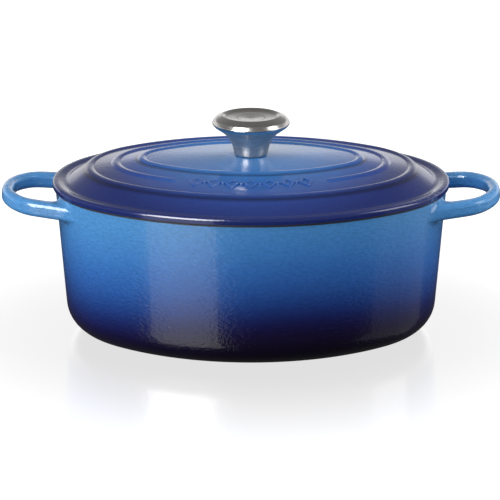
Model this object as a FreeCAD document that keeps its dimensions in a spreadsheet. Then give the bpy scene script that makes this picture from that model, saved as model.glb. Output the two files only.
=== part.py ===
import FreeCAD, Part
import math
import os
from types import SimpleNamespace

import Sketcher
from FreeCAD import Placement, Rotation, Vector

# An enamelled oval cast-iron casserole (dutch oven): a pot with two loop handles cast in one
# piece, a lift-off lid with three raised rings, and a hollow steel knob held by a screw.
#
# Frame: +Z up, origin on the table under the middle of the pot, +X towards one handle.
# Millimetres and degrees.
#
# Every ring of the pot and the lid is the same oval, offset inwards or outwards: two end arcs
# round (+-end_centre, 0) and two side arcs round (0, -+side_centre). A section drawn once, as
# half length against height, is therefore revolved round those four centres.

SIZES = {
    # Plan of the oval, at the lid's edge
    "lid_half_length": 149.0,
    "lid_half_width": 112.4,
    "lid_end_share": 0.83096,
    # Pot
    "rim_height": 112.0,
    "lid_overhang": 2.0,
    "wall_thickness": 4.0,
    "wall_draft": 4.0,
    "floor_thickness": 4.0,
    "base_corner_radius": 23.0,
    "inside_corner_radius": 19.0,
    "foot_width": 9.0,
    "foot_recess": 0.8,
    "rim_edge_radius": 1.0,
    # Loop handles
    "handle_reach": 40.4,
    "handle_drop": 9.2,
    "handle_tilt": 6.0,
    "handle_thickness": 12.0,
    "handle_half_spread": 42.5,
    "handle_splay": 9.6,
    "handle_tip_half_flat": 20.0,
    "handle_shoulder": 18.9,
    "handle_arm_width": 10.5,
    "handle_tip_width": 9.0,
    "handle_edge_radius": 4.0,
    "handle_tip_radius": 50.0,
    "handle_shoulder_radius": 28.0,
    "handle_inner_tip_radius": 34.0,
    "handle_inner_shoulder_radius": 16.0,
    "handle_flare_radius": 34.0,
    "handle_flare_reach": 13.6,
    "handle_flare_angle": 46.0,
    "handle_crotch_radius": 9.0,
    "handle_crotch_reach": 4.5,
    "handle_root_radius": 6.0,
    # Lid
    "lid_thickness": 4.0,
    "lid_edge_height": 5.4,
    "lid_edge_radius": 2.2,
    "rim_land": 4.0,
    "channel_inset": 10.0,
    "channel_depth": 1.6,
    "channel_radius": 4.5,
    "outer_ring_inset": 28.3,
    "outer_ring_height": 15.3,
    "ring_pitch": 19.7,
    "ring_rise": 3.1,
    "ring_outer_run": 3.9,
    "ring_inner_run": 2.9,
    "ring_crest_radius": 5.0,
    "ring_foot_radius": 1.5,
    "ring_gap_half_width": 57.5,
    "seat_height": 22.6,
    "seat_radius": 13.5,
    "skirt_depth": 5.5,
    "skirt_width": 4.0,
    "skirt_clearance": 0.8,
    # Knob and its fixing
    "knob_radius": 28.6,
    "knob_height": 30.8,
    "knob_wall": 1.5,
    "knob_foot_radius": 12.3,
    "knob_foot_edge_radius": 2.0,
    "knob_throat_radius": 15.3,
    "knob_throat_height": 13.5,
    "knob_throat_bend": 21.0,
    "knob_seam_height": 22.0,
    "knob_seam_inset": 1.2,
    "knob_seam_wall": 2.5,
    "knob_lip_radius": 1.5,
    "knob_lip_height": 2.4,
    "knob_shoulder_inset": 1.5,
    "knob_shoulder_drop": 2.4,
    "knob_shoulder_radius": 5.0,
    "knob_crest_radius": 21.3,
    "knob_crest_edge_radius": 1.5,
    "knob_dish_radius": 18.4,
    "knob_dish_edge_drop": 2.0,
    "knob_dish_edge_radius": 3.0,
    "knob_dish_depth": 3.2,
    "bush_radius": 8.5,
    "bush_height": 13.0,
    "screw_radius": 3.0,
    "screw_hole_clearance": 0.3,
    "thread_clearance": 0.05,
    "screw_head_radius": 5.5,
    "screw_head_height": 4.0,
    "screw_head_round": 2.4,
    "screw_tip_chamfer": 0.6,
    "screw_cross_width": 1.0,
    "flat_washer_radius": 7.5,
    "flat_washer_thickness": 1.2,
    "spring_washer_radius": 5.4,
    "spring_washer_thickness": 1.6,
}

RING_OUTER_FLANK = 42.0     # slope, in degrees, of a raised ring's outer flank
RING_INNER_FLANK = 28.0     # slope of its inner flank
UP = Vector(0, 0, 1)
START, END, CENTRE = 1, 2, 3    # the points of a sketch curve
ORIGIN = -1                     # the sketch's own origin


class Size:
    """A number together with the spreadsheet expression that gives it."""

    def __init__(self, value, text):
        self.value = value
        self.text = text

    def __add__(self, other):
        other = as_size(other)
        return Size(self.value + other.value, f"({self.text} + {other.text})")

    def __radd__(self, other):
        return as_size(other) + self

    def __sub__(self, other):
        other = as_size(other)
        return Size(self.value - other.value, f"({self.text} - {other.text})")

    def __rsub__(self, other):
        return as_size(other) - self

    def __mul__(self, other):
        other = as_size(other)
        return Size(self.value * other.value, f"({self.text} * {other.text})")

    def __rmul__(self, other):
        return as_size(other) * self

    def __truediv__(self, other):
        other = as_size(other)
        return Size(self.value / other.value, f"({self.text} / {other.text})")

    def __neg__(self):
        return as_size(0) - self


def as_size(number):
    """A plain number as a Size; a Size is returned as it is."""
    return number if isinstance(number, Size) else Size(float(number), repr(float(number)))


def tangent(angle):
    return Size(math.tan(math.radians(angle.value)), f"tan({angle.text})")


def cosine(angle):
    return Size(math.cos(math.radians(angle.value)), f"cos({angle.text})")


def sine(angle):
    return Size(math.sin(math.radians(angle.value)), f"sin({angle.text})")


def direction(rise, run):
    """The angle, in degrees, of a line with this rise and run."""
    angle = math.degrees(math.atan2(rise.value, run.value))
    return Size(angle, f"(atan2({rise.text}; {run.text}) / 1 deg)")


def arc_half_angle(offset, radius):
    """The angle, in degrees, at which an arc of this radius reaches this offset."""
    angle = math.degrees(math.asin(offset.value / radius.value))
    return Size(angle, f"(asin({offset.text} / {radius.text}) / 1 deg)")


# The sheet and the sizes that follow from it

def make_sheet(document):
    """Write every driving size to the spreadsheet, one row each."""
    sheet = document.addObject("Spreadsheet::Sheet", "Sizes")
    for row, (name, number) in enumerate(SIZES.items(), start=1):
        sheet.set(f"A{row}", name)
        sheet.set(f"B{row}", str(number))
        sheet.setAlias(f"B{row}", name)


doc = FreeCAD.newDocument("oval_casserole")
make_sheet(doc)
size = SimpleNamespace(**{name: Size(number, "Sizes." + name) for name, number in SIZES.items()})

# The outline: half length minus half width, the same for every ring, the radius of its end arcs,
# which follows the width, and the centres of its four arcs
oval_difference = size.lid_half_length - size.lid_half_width
lid_end_radius = size.lid_half_width * size.lid_end_share
end_centre = size.lid_half_length - lid_end_radius
side_centre = (oval_difference * (2 * end_centre - oval_difference)
               / (2 * (end_centre - oval_difference)))
end_half_angle = direction(side_centre, end_centre)
side_half_angle = 90 - end_half_angle

# Heights
rim = size.rim_height
floor_top = size.foot_recess + size.floor_thickness
seat = rim + size.seat_height
seat_underside = seat - size.lid_thickness
seam = seat + size.knob_seam_height


# Sketches

def new_body(label):
    """An empty body; its label names the sub-part's file."""
    return doc.addObject("PartDesign::Body", label)


def origin_item(body, role):
    """The plane or axis of the body's own origin with this role."""
    return [item for item in body.Origin.OriginFeatures if item.Role == role][0]


def new_sketch(body, name, plane, offset=None):
    """A sketch on one of the body's origin planes, moved along its normal by an offset."""
    sketch = body.newObject("Sketcher::SketchObject", name)
    sketch.AttachmentSupport = [(origin_item(body, plane), "")]
    sketch.MapMode = "FlatFace"
    if offset is not None:
        sketch.AttachmentOffset = Placement(Vector(0, 0, offset.value), Rotation())
        sketch.setExpression("AttachmentOffset.Base.z", offset.text)
    return sketch


def bind(sketch, constraint, length):
    """Add a dimension and let the sheet drive it."""
    index = sketch.addConstraint(constraint)
    if "Sizes." in length.text:
        name = f"size_{index}"
        sketch.renameConstraint(index, name)
        sketch.setExpression(f"Constraints.{name}", length.text)


def pin_across(sketch, geometry, point, across):
    bind(sketch, Sketcher.Constraint("DistanceX", ORIGIN, START, geometry, point, across.value), across)


def pin_up(sketch, geometry, point, up):
    bind(sketch, Sketcher.Constraint("DistanceY", ORIGIN, START, geometry, point, up.value), up)


def pin_point(sketch, geometry, point, across, up):
    """Fix one point of a curve at driven distances from the sketch's origin."""
    pin_across(sketch, geometry, point, across)
    pin_up(sketch, geometry, point, up)


def set_radius(sketch, geometry, radius):
    bind(sketch, Sketcher.Constraint("Radius", geometry, radius.value), radius)


def rounding(before, corner, after, radius):
    """Tangent points, centre and side of the arc that rounds a corner."""
    inward = (corner - before).normalize()
    outward = (after - corner).normalize()
    turn = math.atan2(inward.cross(outward).z, inward.dot(outward))
    reach = radius * abs(math.tan(turn / 2))
    start = corner - inward * reach
    side = math.copysign(1, turn)
    centre = start + Vector(-inward.y, inward.x, 0) * radius * side
    return start, corner + outward * reach, centre, side


def add_outline(sketch, corners):
    """Draw a closed outline through (across, up) corners; (across, up, radius) rounds one."""
    corners = [[as_size(item) for item in corner] for corner in corners]
    spots = [Vector(corner[0].value, corner[1].value, 0) for corner in corners]
    count = len(corners)
    starts, ends, rounds = list(spots), list(spots), {}
    for index, corner in enumerate(corners):
        if len(corner) == 3:
            before, after = spots[index - 1], spots[(index + 1) % count]
            shape = rounding(before, spots[index], after, corner[2].value)
            starts[index], ends[index] = shape[0], shape[1]
            rounds[index] = shape
    lines = [sketch.addGeometry(Part.LineSegment(ends[index], starts[(index + 1) % count]))
             for index in range(count)]
    for index, corner in enumerate(corners):
        before, after = lines[index - 1], lines[index]
        if index not in rounds:
            sketch.addConstraint(Sketcher.Constraint("Coincident", before, END, after, START))
            pin_point(sketch, after, START, corner[0], corner[1])
            continue
        start, end, centre, side = rounds[index]
        first, last = (start, end) if side > 0 else (end, start)
        angles = [math.atan2(spot.y - centre.y, spot.x - centre.x) for spot in (first, last)]
        circle = Part.Circle(centre, UP, corner[2].value)
        arc = sketch.addGeometry(Part.ArcOfCircle(circle, *angles))
        vertex = sketch.addGeometry(Part.Point(spots[index]), True)
        arc_start, arc_end = (START, END) if side > 0 else (END, START)
        sketch.addConstraint([
            Sketcher.Constraint("Tangent", before, END, arc, arc_start),
            Sketcher.Constraint("Tangent", arc, arc_end, after, START),
            Sketcher.Constraint("PointOnObject", vertex, START, before),
            Sketcher.Constraint("PointOnObject", vertex, START, after)])
        pin_point(sketch, vertex, START, corner[0], corner[1])
        set_radius(sketch, arc, corner[2])


def add_axis(sketch, across):
    """A vertical construction line to revolve round."""
    foot, head = Vector(across.value, 0, 0), Vector(across.value, 10, 0)
    line = sketch.addGeometry(Part.LineSegment(foot, head), True)
    pin_point(sketch, line, START, across, as_size(0))
    pin_point(sketch, line, END, across, as_size(10))


def add_circle(sketch, radius):
    circle = sketch.addGeometry(Part.Circle(Vector(), UP, radius.value))
    sketch.addConstraint(Sketcher.Constraint("Coincident", circle, CENTRE, ORIGIN, START))
    set_radius(sketch, circle, radius)


def add_oval(sketch, half_length):
    """The oval of this half length: right, upper, left and lower arc."""
    end_radius = half_length - end_centre
    side_radius = half_length - oval_difference + side_centre
    half_turn = math.radians(end_half_angle.value)
    joints = [half_turn, math.pi - half_turn, math.pi + half_turn, 2 * math.pi - half_turn]
    plan = ((end_centre, as_size(0), end_radius), (as_size(0), -side_centre, side_radius),
            (-end_centre, as_size(0), end_radius), (as_size(0), side_centre, side_radius))
    arcs = []
    for number, (across, up, radius) in enumerate(plan):
        circle = Part.Circle(Vector(across.value, up.value, 0), UP, radius.value)
        arcs.append(sketch.addGeometry(Part.ArcOfCircle(circle, joints[number - 1], joints[number])))
    for number, arc in enumerate(arcs):
        follower = arcs[(number + 1) % len(arcs)]
        sketch.addConstraint(Sketcher.Constraint("Tangent", arc, END, follower, START))
    for end_arc, (across, up, radius) in ((arcs[0], plan[0]), (arcs[2], plan[2])):
        pin_point(sketch, end_arc, CENTRE, across, up)
        set_radius(sketch, end_arc, radius)
    for side_arc, (across, up, radius) in ((arcs[1], plan[1]), (arcs[3], plan[3])):
        pin_up(sketch, side_arc, CENTRE, up)


# Features

def turn_section(body, kind, name, plane, corners, axis=None, angle=None, offset=None):
    """Revolve an outline, or groove with it, all the way round or over an angle."""
    sketch = new_sketch(body, name + "_section", plane, offset)
    add_outline(sketch, corners)
    feature = body.newObject("PartDesign::" + kind, name)
    feature.Profile = sketch
    if axis is None:
        feature.ReferenceAxis = (sketch, ["V_Axis"])
    else:
        add_axis(sketch, axis)
        feature.ReferenceAxis = (sketch, ["Axis0"])
    if angle is not None:
        feature.Midplane = True
        feature.setExpression("Angle", angle.text)
    doc.recompute()
    return feature


def mirror(body, feature, plane):
    """Repeat a feature on the other side of an origin plane."""
    copy = body.newObject("PartDesign::Mirrored", feature.Name + "_mirrored")
    copy.Originals = [feature]
    copy.MirrorPlane = (origin_item(body, plane), [""])
    body.Tip = copy
    doc.recompute()


def add_oval_ring(body, name, corners):
    """Revolve (half length, height) corners into a closed oval ring of four sectors."""
    end = turn_section(body, "Revolution", name + "_end", "XZ_Plane", corners,
                       axis=end_centre, angle=2 * end_half_angle)
    across = [[as_size(corner[0]) - oval_difference, *corner[1:]] for corner in corners]
    side = turn_section(body, "Revolution", name + "_side", "YZ_Plane", across,
                        axis=-side_centre, angle=2 * side_half_angle)
    mirror(body, end, "YZ_Plane")
    mirror(body, side, "XZ_Plane")


def pad(body, name, sketch, length):
    feature = body.newObject("PartDesign::Pad", name)
    feature.Profile = sketch
    feature.setExpression("Length", length.text)
    doc.recompute()
    return feature


def loft(body, kind, name, half_length, height, top_radius, top_height):
    """Loft from an oval up to a smaller circle, added to the body or taken from it."""
    lower = new_sketch(body, name + "_oval", "XY_Plane", height)
    add_oval(lower, half_length)
    upper = new_sketch(body, name + "_circle", "XY_Plane", top_height)
    add_circle(upper, top_radius)
    feature = body.newObject("PartDesign::" + kind, name)
    feature.Profile = lower
    feature.Sections = [upper]
    feature.Ruled = True
    doc.recompute()


def round_edges(body, name, feature, edges, radius):
    fillet = body.newObject("PartDesign::Fillet", name)
    fillet.Base = (feature, edges)
    fillet.setExpression("Radius", radius.text)
    doc.recompute()
    return fillet


# The pot: an oval block with two loop handles, hollowed by one core, as it is cast

inner_rim_half = size.lid_half_length - size.lid_overhang - size.wall_thickness
rim_half = size.lid_half_length - size.lid_overhang
wall_lean = tangent(size.wall_draft)
CORE_MARGIN = 4             # how far the flat core of each oval stops short of the next step
CLEAR = 3                   # how far a cutting shape runs past the surface that it cuts
BURIED = 1                  # how far an added shape reaches into what it stands on
TOUCHING = 0.001            # two shapes nearer than this touch


def base_radii():
    """Half lengths of the base corner, of the foot ring's inner edge and of the flat core."""
    base_half = rim_half - rim * wall_lean
    foot_outer = base_half - size.base_corner_radius * tangent((90 - size.wall_draft) / 2)
    foot_inner = foot_outer - size.foot_width
    return base_half, foot_inner, foot_inner - CORE_MARGIN


def make_pot_block():
    """The outside of the pot: drafted wall, round base corner, foot ring and recess."""
    body = new_body("pot_block")
    base_half, foot_inner, core = base_radii()
    add_oval_ring(body, "outside", [
        (core, size.foot_recess),
        (foot_inner - size.foot_recess, size.foot_recess),
        (foot_inner, 0),
        (base_half, 0, size.base_corner_radius),
        (rim_half, rim, size.rim_edge_radius),
        (core, rim)])
    sketch = new_sketch(body, "outside_core_oval", "XY_Plane", size.foot_recess)
    add_oval(sketch, core)
    pad(body, "outside_core", sketch, rim - size.foot_recess)
    return body


def make_pot_cavity():
    """The inside of the pot, flaring at the top to round the rim's inner edge."""
    body = new_body("pot_cavity")
    core = base_radii()[2]
    floor_half = inner_rim_half - (rim - floor_top) * wall_lean
    mouth_half = inner_rim_half + size.wall_thickness / 2
    add_oval_ring(body, "inside", [
        (core, floor_top),
        (floor_half, floor_top, size.inside_corner_radius),
        (inner_rim_half, rim, size.rim_edge_radius),
        (mouth_half, rim),
        (mouth_half, rim + CLEAR),
        (core, rim + CLEAR)])
    sketch = new_sketch(body, "inside_core_oval", "XY_Plane", floor_top)
    add_oval(sketch, core)
    pad(body, "inside_core", sketch, rim + CLEAR - floor_top)
    return body


def handle_corners():
    """Plan of the right-hand loop, measured from where its middle meets the wall.

    Each end runs on through the wall, because the core then cuts it flush inside.
    """
    tip = size.handle_reach
    shoulder = tip - size.handle_shoulder
    spread = size.handle_half_spread
    inner_tip = tip - size.handle_tip_width
    inner_setback = size.handle_tip_width / 3
    inner_shoulder = shoulder - inner_setback
    inner_spread = spread - size.handle_arm_width
    inner_half_flat = size.handle_tip_half_flat - inner_setback
    splay = tangent(size.handle_splay)
    in_wall = lid_end_radius - size.lid_overhang - 2 * size.wall_thickness / 3
    root_x = end_centre + in_wall * cosine(size.handle_flare_angle) - rim_half
    root_y = in_wall * sine(size.handle_flare_angle)
    flare = size.handle_flare_reach
    crotch = size.handle_crotch_reach
    upper = [
        (inner_tip, inner_half_flat, size.handle_inner_tip_radius),
        (inner_shoulder, inner_spread, size.handle_inner_shoulder_radius),
        (-crotch, inner_spread + (inner_shoulder + crotch) * splay, size.handle_crotch_radius),
        (-crotch - CLEAR, size.handle_crotch_radius),
        (root_x - size.handle_crotch_radius, size.handle_crotch_radius),
        (root_x - size.handle_crotch_radius, root_y - size.handle_crotch_radius),
        (root_x, root_y),
        (-flare, spread + (shoulder + flare) * splay, size.handle_flare_radius),
        (shoulder, spread, size.handle_shoulder_radius),
        (tip, size.handle_tip_half_flat, size.handle_tip_radius)]
    lower = [(corner[0], -corner[1], *corner[2:]) for corner in reversed(upper)]
    return upper + lower


def make_handle():
    """One loop: its plan padded to thickness, every long edge rounded, tilted up outwards."""
    body = new_body("handle_right")
    sketch = new_sketch(body, "handle_plan", "XY_Plane", -size.handle_thickness / 2)
    add_outline(sketch, handle_corners())
    loop = pad(body, "handle_loop", sketch, size.handle_thickness)
    centre_x = end_centre.value - rim_half.value
    inside = lid_end_radius.value - size.lid_overhang.value - 2 * size.wall_thickness.value
    edges = []
    for number, edge in enumerate(loop.Shape.Edges, start=1):
        middle = edge.valueAt((edge.FirstParameter + edge.LastParameter) / 2)
        level = abs(edge.Vertexes[0].Z - edge.Vertexes[-1].Z) < TOUCHING
        if level and math.hypot(middle.x - centre_x, middle.y) > inside:
            edges.append(f"Edge{number}")
    round_edges(body, "handle_edges", loop, edges, size.handle_edge_radius)
    height = rim - size.handle_drop
    tilt = Rotation(Vector(0, -1, 0), size.handle_tilt.value)
    body.Placement = Placement(Vector(rim_half.value, 0, height.value), tilt)
    body.setExpression("Placement.Base.x", rim_half.text)
    body.setExpression("Placement.Base.z", height.text)
    body.setExpression("Placement.Rotation.Angle", size.handle_tilt.text)
    return body


def round_handle_roots(solid, block, handles):
    """Blend each handle into the wall, along the seam that their surfaces share."""
    body = new_body("pot_outside")
    base = body.newObject("PartDesign::FeatureBase", "joined")
    base.BaseFeature = solid
    doc.recompute()
    seam = []
    for number, edge in enumerate(base.Shape.Edges, start=1):
        middle = Part.Vertex(edge.valueAt((edge.FirstParameter + edge.LastParameter) / 2))
        on_handle = any(handle.Shape.distToShape(middle)[0] < TOUCHING for handle in handles)
        if on_handle and block.Shape.distToShape(middle)[0] < TOUCHING:
            seam.append(f"Edge{number}")
    round_edges(body, "handle_roots", base, seam, size.handle_root_radius)
    return body


def make_pot():
    """The casting: block and handles fused, blended and then hollowed."""
    block = make_pot_block()
    cavity = make_pot_cavity()
    right = make_handle()
    left = doc.addObject("Part::Mirroring", "handle_left")
    left.Source = right
    left.Normal = Vector(1, 0, 0)
    solid = doc.addObject("Part::MultiFuse", "pot_solid")
    solid.Shapes = [block, right, left]
    doc.recompute()
    pot = doc.addObject("Part::Cut", "pot_casting")
    pot.Base = round_handle_roots(solid, block, [right, left])
    pot.Tool = cavity
    doc.recompute()
    return pot


# The lid: a stepped dome with three raised rings and a skirt that drops inside the rim

# Where the two flanks of a raised ring would meet, measured from the top of its crest in
# crest radii; rounding that corner leaves the crest itself
HALF_SUM = math.radians((RING_OUTER_FLANK + RING_INNER_FLANK) / 2)
HALF_DIFFERENCE = math.radians((RING_OUTER_FLANK - RING_INNER_FLANK) / 2)
APEX_OUT = math.sin(HALF_DIFFERENCE) / math.cos(HALF_SUM)
APEX_UP = math.cos(HALF_DIFFERENCE) / math.cos(HALF_SUM) - 1


def flank_drop(run, flank):
    """How far below its crest a ring's foot lies, at this run from the crest's middle."""
    slope = math.radians(flank)
    round_drop = size.ring_crest_radius * (1 - math.cos(slope))
    return round_drop + (run - size.ring_crest_radius * math.sin(slope)) * math.tan(slope)


def raised_ring(number):
    """Crest, outer foot and inner foot of one ring, counted from the outermost, as 0."""
    middle = size.lid_half_length - size.outer_ring_inset - number * size.ring_pitch
    crest = rim + size.outer_ring_height + number * size.ring_rise
    outer_drop = flank_drop(size.ring_outer_run, RING_OUTER_FLANK)
    inner_drop = flank_drop(size.ring_inner_run, RING_INNER_FLANK)
    return SimpleNamespace(
        middle=middle, crest=crest,
        apex=(middle + size.ring_crest_radius * APEX_OUT, crest + size.ring_crest_radius * APEX_UP),
        outer_foot=(middle + size.ring_outer_run, crest - outer_drop),
        inner_foot=(middle - size.ring_inner_run, crest - inner_drop))


def lid_corners(rings):
    """The lid's section from its flat panel out to the edge and back along the underside."""
    outer, middle, inner = rings
    edge = size.lid_half_length
    edge_top = rim + size.lid_edge_height
    skirt_outside = inner_rim_half - size.skirt_clearance
    skirt_inside = skirt_outside - size.skirt_width
    foot = size.ring_foot_radius
    crest = size.ring_crest_radius
    thick = size.lid_thickness
    return [
        inner.inner_foot,
        (*inner.apex, crest),
        (*inner.outer_foot, foot),
        (*middle.inner_foot, foot),
        (*middle.apex, crest),
        (*middle.outer_foot, foot),
        (*outer.inner_foot, foot),
        (*outer.apex, crest),
        (*outer.outer_foot, foot),
        (edge - size.channel_inset, edge_top - size.channel_depth, size.channel_radius),
        (edge - size.rim_land, edge_top, size.lid_edge_radius),
        (edge, edge_top, size.lid_edge_radius),
        (edge, rim, size.rim_edge_radius),
        (skirt_outside, rim),
        (skirt_outside, rim - size.skirt_depth, size.rim_edge_radius),
        (skirt_inside, rim - size.skirt_depth, size.rim_edge_radius),
        (skirt_inside, edge_top - size.channel_depth - thick, foot),
        (outer.outer_foot[0] - foot, outer.outer_foot[1] - thick, foot),
        (middle.outer_foot[0] - foot, middle.outer_foot[1] - thick),
        (inner.outer_foot[0] - foot, inner.outer_foot[1] - thick),
        (inner.inner_foot[0], inner.inner_foot[1] - thick)]


def cut_ring_gap(body, rings):
    """Interrupt the middle ring at the front, down to the slope between its neighbours."""
    outer, middle, inner = rings
    margin = size.ring_foot_radius / 2

    def along(start, finish):
        share = margin / (finish[0] - start[0])
        return start[0] + margin, start[1] + (finish[1] - start[1]) * share

    def beyond(start, finish):
        share = margin / (start[0] - finish[0])
        return start[0] - margin, start[1] + (finish[1] - start[1]) * share

    outside = along(middle.outer_foot, outer.inner_foot)
    inside = beyond(middle.inner_foot, inner.outer_foot)
    top = middle.crest + CLEAR
    section = [outside, middle.outer_foot, middle.inner_foot, inside,
               (inside[0], top), (outside[0], top)]
    radius = middle.middle - oval_difference + side_centre
    half_angle = arc_half_angle(size.ring_gap_half_width, radius)
    front = [(oval_difference - corner[0], corner[1]) for corner in section]
    turn_section(body, "Groove", "ring_gap", "YZ_Plane", front,
                 axis=side_centre, angle=2 * half_angle)
    return half_angle, radius


def round_ring_ends(body, ring, half_angle, radius):
    """Close each end of the interrupted ring with half of a domed button."""
    sketch = new_sketch(body, "ring_end_section", "XZ_Plane",
                        radius * cosine(half_angle) - side_centre)
    across = size.ring_gap_half_width
    drop = flank_drop(size.ring_outer_run, RING_OUTER_FLANK)
    foot_out = across + size.ring_outer_run
    buried = ring.crest - drop - BURIED
    slope = math.radians(RING_OUTER_FLANK)
    crest_radius = size.ring_crest_radius
    centre_up = ring.crest - crest_radius
    circle = Part.Circle(Vector(across.value, centre_up.value, 0), UP, crest_radius.value)
    crown = sketch.addGeometry(Part.ArcOfCircle(circle, math.pi / 2 - slope, math.pi / 2))
    bend = circle.value(math.pi / 2 - slope)
    corners = [bend, Vector(foot_out.value, (ring.crest - drop).value, 0),
               Vector(foot_out.value, buried.value, 0),
               Vector(across.value, buried.value, 0),
               Vector(across.value, ring.crest.value, 0)]
    lines = [sketch.addGeometry(Part.LineSegment(first, second))
             for first, second in zip(corners, corners[1:])]
    sketch.addConstraint(Sketcher.Constraint("Tangent", crown, START, lines[0], START))
    for line, follower in zip(lines, lines[1:]):
        sketch.addConstraint(Sketcher.Constraint("Coincident", line, END, follower, START))
    sketch.addConstraint(Sketcher.Constraint("Coincident", lines[-1], END, crown, END))
    pin_point(sketch, crown, CENTRE, across, centre_up)
    pin_point(sketch, lines[0], END, foot_out, ring.crest - drop)
    pin_point(sketch, lines[1], END, foot_out, buried)
    pin_point(sketch, lines[2], END, across, buried)
    pin_point(sketch, lines[3], END, across, ring.crest)
    add_axis(sketch, across)
    button = body.newObject("PartDesign::Revolution", "ring_end")
    button.Profile = sketch
    button.ReferenceAxis = (sketch, ["Axis0"])
    doc.recompute()
    mirror(body, button, "YZ_Plane")


def make_lid():
    body = new_body("lid_casting")
    rings = [raised_ring(number) for number in range(3)]
    add_oval_ring(body, "dome", lid_corners(rings))
    half_angle, radius = cut_ring_gap(body, rings)
    round_ring_ends(body, rings[1], half_angle, radius)
    panel_half, panel_up = rings[2].inner_foot
    sketch = new_sketch(body, "panel_oval", "XY_Plane", panel_up - size.lid_thickness)
    add_oval(sketch, panel_half)
    pad(body, "panel", sketch, size.lid_thickness)
    loft(body, "AdditiveLoft", "panel_rise", panel_half, panel_up, size.seat_radius, seat)
    loft(body, "SubtractiveLoft", "panel_hollow", panel_half - size.lid_thickness,
         panel_up - size.lid_thickness, size.seat_radius, seat_underside)
    hole = new_sketch(body, "screw_hole_circle", "XY_Plane", seat + CLEAR)
    add_circle(hole, size.screw_radius + size.screw_hole_clearance)
    pocket = body.newObject("PartDesign::Pocket", "screw_hole")
    pocket.Profile = hole
    pocket.Type = "ThroughAll"
    doc.recompute()
    return body


# The knob: a hollow stem and a dished cap of sheet steel, welded at the seam, and its fixing

ROOT_TWO_LESS_ONE = math.sqrt(2) - 1


def make_knob_stem():
    """Flared tube with a floor that the screw passes through."""
    body = new_body("knob_stem")
    wall = size.knob_wall
    hole = size.screw_radius + size.screw_hole_clearance
    seam_radius = size.knob_radius - size.knob_seam_inset
    throat = seat + size.knob_throat_height
    turn_section(body, "Revolution", "stem", "XZ_Plane", [
        (hole, seat),
        (size.knob_foot_radius, seat, size.knob_foot_edge_radius),
        (size.knob_throat_radius, throat, size.knob_throat_bend),
        (seam_radius, seam),
        (seam_radius - size.knob_seam_wall, seam),
        (size.knob_throat_radius - wall, throat + wall / 2, size.knob_throat_bend + wall),
        (size.knob_foot_radius - wall, seat + wall),
        (hole, seat + wall)])
    return body


def make_knob_cap():
    """Bulged rim round a shallow dish, hollow underneath."""
    body = new_body("knob_cap")
    wall = size.knob_wall
    lip = size.knob_lip_radius
    seam_radius = size.knob_radius - size.knob_seam_inset
    lip_corner = size.knob_radius + lip * ROOT_TWO_LESS_ONE
    lip_up = seam + size.knob_lip_height
    crest = seat + size.knob_height
    dish_edge = crest - size.knob_dish_edge_drop
    dish = crest - size.knob_dish_depth
    shoulder_out = size.knob_radius - size.knob_shoulder_inset
    shoulder_up = crest - size.knob_shoulder_drop
    turn_section(body, "Revolution", "cap", "XZ_Plane", [
        (seam_radius - size.knob_seam_wall, seam),
        (seam_radius, seam),
        (lip_corner, lip_up, lip),
        (shoulder_out, shoulder_up, size.knob_shoulder_radius),
        (size.knob_crest_radius, crest, size.knob_crest_edge_radius),
        (size.knob_dish_radius, dish_edge, size.knob_dish_edge_radius),
        (0, dish),
        (0, dish - wall),
        (size.knob_dish_radius, dish_edge - wall),
        (size.knob_crest_radius - wall, dish_edge - wall),
        (shoulder_out - wall, shoulder_up - wall),
        (lip_corner - 2 * wall, seam + wall)])
    return body


def ring_pad(label, outer_radius, inner_radius, height, bottom):
    """A flat ring, pushed up from a sketch of two circles."""
    body = new_body(label)
    sketch = new_sketch(body, label + "_circles", "XY_Plane", bottom)
    add_circle(sketch, outer_radius)
    add_circle(sketch, inner_radius)
    pad(body, label + "_pad", sketch, height)
    return body


def make_screw(head_top):
    """Pan-head screw, head down under the lid, with a cross recess."""
    body = new_body("knob_screw")
    head_bottom = head_top - size.screw_head_height
    tip = seat + size.knob_wall + size.bush_height - CLEAR
    turn_section(body, "Revolution", "screw", "XZ_Plane", [
        (0, head_bottom),
        (size.screw_head_radius, head_bottom, size.screw_head_round),
        (size.screw_head_radius, head_top),
        (size.screw_radius, head_top),
        (size.screw_radius, tip - size.screw_tip_chamfer),
        (size.screw_radius - size.screw_tip_chamfer, tip),
        (0, tip)])
    arm, half = size.screw_radius, size.screw_cross_width / 2
    sketch = new_sketch(body, "cross_plan", "XY_Plane", head_bottom)
    add_outline(sketch, [
        (arm, -half), (arm, half), (half, half), (half, arm), (-half, arm), (-half, half),
        (-arm, half), (-arm, -half), (-half, -half), (-half, -arm), (half, -arm), (half, -half)])
    cross = body.newObject("PartDesign::Pocket", "cross_recess")
    cross.Profile = sketch
    cross.Reversed = True
    cross.setExpression("Length", (size.screw_head_height / 2).text)
    doc.recompute()
    return body


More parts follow.
